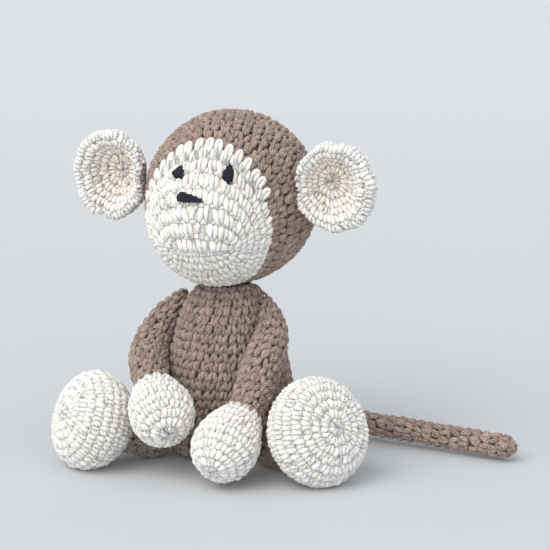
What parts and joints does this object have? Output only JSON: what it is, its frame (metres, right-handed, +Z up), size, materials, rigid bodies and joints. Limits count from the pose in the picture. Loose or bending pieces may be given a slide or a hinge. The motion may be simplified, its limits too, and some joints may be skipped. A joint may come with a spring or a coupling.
{
  "type": "crocheted toy monkey",
  "caption": "Crocheted toy monkey sitting with a round head, bulging cream face, cupped ears, cream hands and feet and a long thin tail.",
  "frame": {"origin": "middle of the flat seat under the torso, on the surface that the toy sits on", "axes": "+Z up, the monkey looks along -Y, +X towards the monkey's own left"},
  "size_m": [0.2365, 0.138, 0.1802],
  "materials": {
    "brown_yarn": "matte",
    "cream_yarn": "matte",
    "black_floss": "satin",
    "fibre_filling": "matte"
  },
  "bodies": {
    "torso": {"torso_shell": "brown_yarn", "torso_stuffing": "fibre_filling", "shoulder_seam_left": "brown_yarn", "shoulder_seam_right": "brown_yarn"},
    "neck": {"neck_seam": "brown_yarn"},
    "head": {"head_shell": "brown_yarn", "face_panel": "cream_yarn", "head_stuffing": "fibre_filling", "eye_left": "black_floss", "eye_right": "black_floss", "nose_stitch": "black_floss", "ear_seam_left": "brown_yarn", "ear_seam_right": "brown_yarn"},
    "ear_left": {"ear_left": "cream_yarn"},
    "ear_right": {"ear_right": "cream_yarn"},
    "arm_left": {"arm_left": "brown_yarn", "hand_left": "cream_yarn", "arm_stuffing_left": "fibre_filling"},
    "hip_left": {"hip_seam_left": "brown_yarn"},
    "leg_left": {"leg_left": "brown_yarn", "foot_left": "cream_yarn", "leg_stuffing_left": "fibre_filling"},
    "arm_right": {"arm_right": "brown_yarn", "hand_right": "cream_yarn", "arm_stuffing_right": "fibre_filling"},
    "hip_right": {"hip_seam_right": "brown_yarn"},
    "leg_right": {"leg_right": "brown_yarn", "foot_right": "cream_yarn", "leg_stuffing_right": "fibre_filling"},
    "tail_root": {"tail_seam": "brown_yarn"},
    "tail": {"tail_shell": "brown_yarn", "tail_stuffing": "fibre_filling"}
  },
  "joints": [
    {"name": "head_turn", "type": "hinge", "parent": "torso", "child": "neck", "pos_m": [0, 0, 0.086], "axis": [0, 0, 1], "range_deg": [-25, 25], "stiffness_Nm_per_rad": 0.08},
    {"name": "head_nod", "type": "hinge", "parent": "neck", "child": "head", "pos_m": [0, 0, 0.086], "axis": [1, 0, 0], "range_deg": [-10, 12], "stiffness_Nm_per_rad": 0.6},
    {"name": "ear_left_fold", "type": "hinge", "parent": "head", "child": "ear_left", "pos_m": [0.04338, -0.01866, 0.14508], "axis": [0.0109, 0.104, -0.9945], "range_deg": [-12, 12], "stiffness_Nm_per_rad": 0.02},
    {"name": "ear_right_fold", "type": "hinge", "parent": "head", "child": "ear_right", "pos_m": [-0.04334, -0.00955, 0.14508], "axis": [-0.0109, -0.104, 0.9945], "range_deg": [-12, 12], "stiffness_Nm_per_rad": 0.02},
    {"name": "arm_left_raise", "type": "hinge", "parent": "torso", "child": "arm_left", "pos_m": [0.0265, -0.0095, 0.0785], "axis": [-1, 0, 0], "range_deg": [0, 40]},
    {"name": "arm_right_raise", "type": "hinge", "parent": "torso", "child": "arm_right", "pos_m": [-0.0285, 0.001, 0.0785], "axis": [-1, 0, 0], "range_deg": [0, 40]},
    {"name": "leg_left_splay", "type": "hinge", "parent": "torso", "child": "hip_left", "pos_m": [0.03445, -0.03197, 0.012], "axis": [0, 0, 1], "range_deg": [0, 25]},
    {"name": "leg_left_lower", "type": "hinge", "parent": "hip_left", "child": "leg_left", "pos_m": [0.03445, -0.03197, 0.012], "axis": [0.6802, 0.733, 0], "range_deg": [0, 70]},
    {"name": "leg_right_splay", "type": "hinge", "parent": "torso", "child": "hip_right", "pos_m": [-0.03435, -0.03208, 0.012], "axis": [0, 0, -1], "range_deg": [0, 25]},
    {"name": "leg_right_lower", "type": "hinge", "parent": "hip_right", "child": "leg_right", "pos_m": [-0.03435, -0.03208, 0.012], "axis": [0.6825, -0.7309, 0], "range_deg": [0, 70]},
    {"name": "tail_swing", "type": "hinge", "parent": "torso", "child": "tail_root", "pos_m": [0, 0.046, 0.0105], "axis": [0, 0, 1], "range_deg": [0, 150]},
    {"name": "tail_lift", "type": "hinge", "parent": "tail_root", "child": "tail", "pos_m": [0, 0.046, 0.0105], "axis": [-0.2626, -0.9649, 0], "range_deg": [0, 45]}
  ]
}
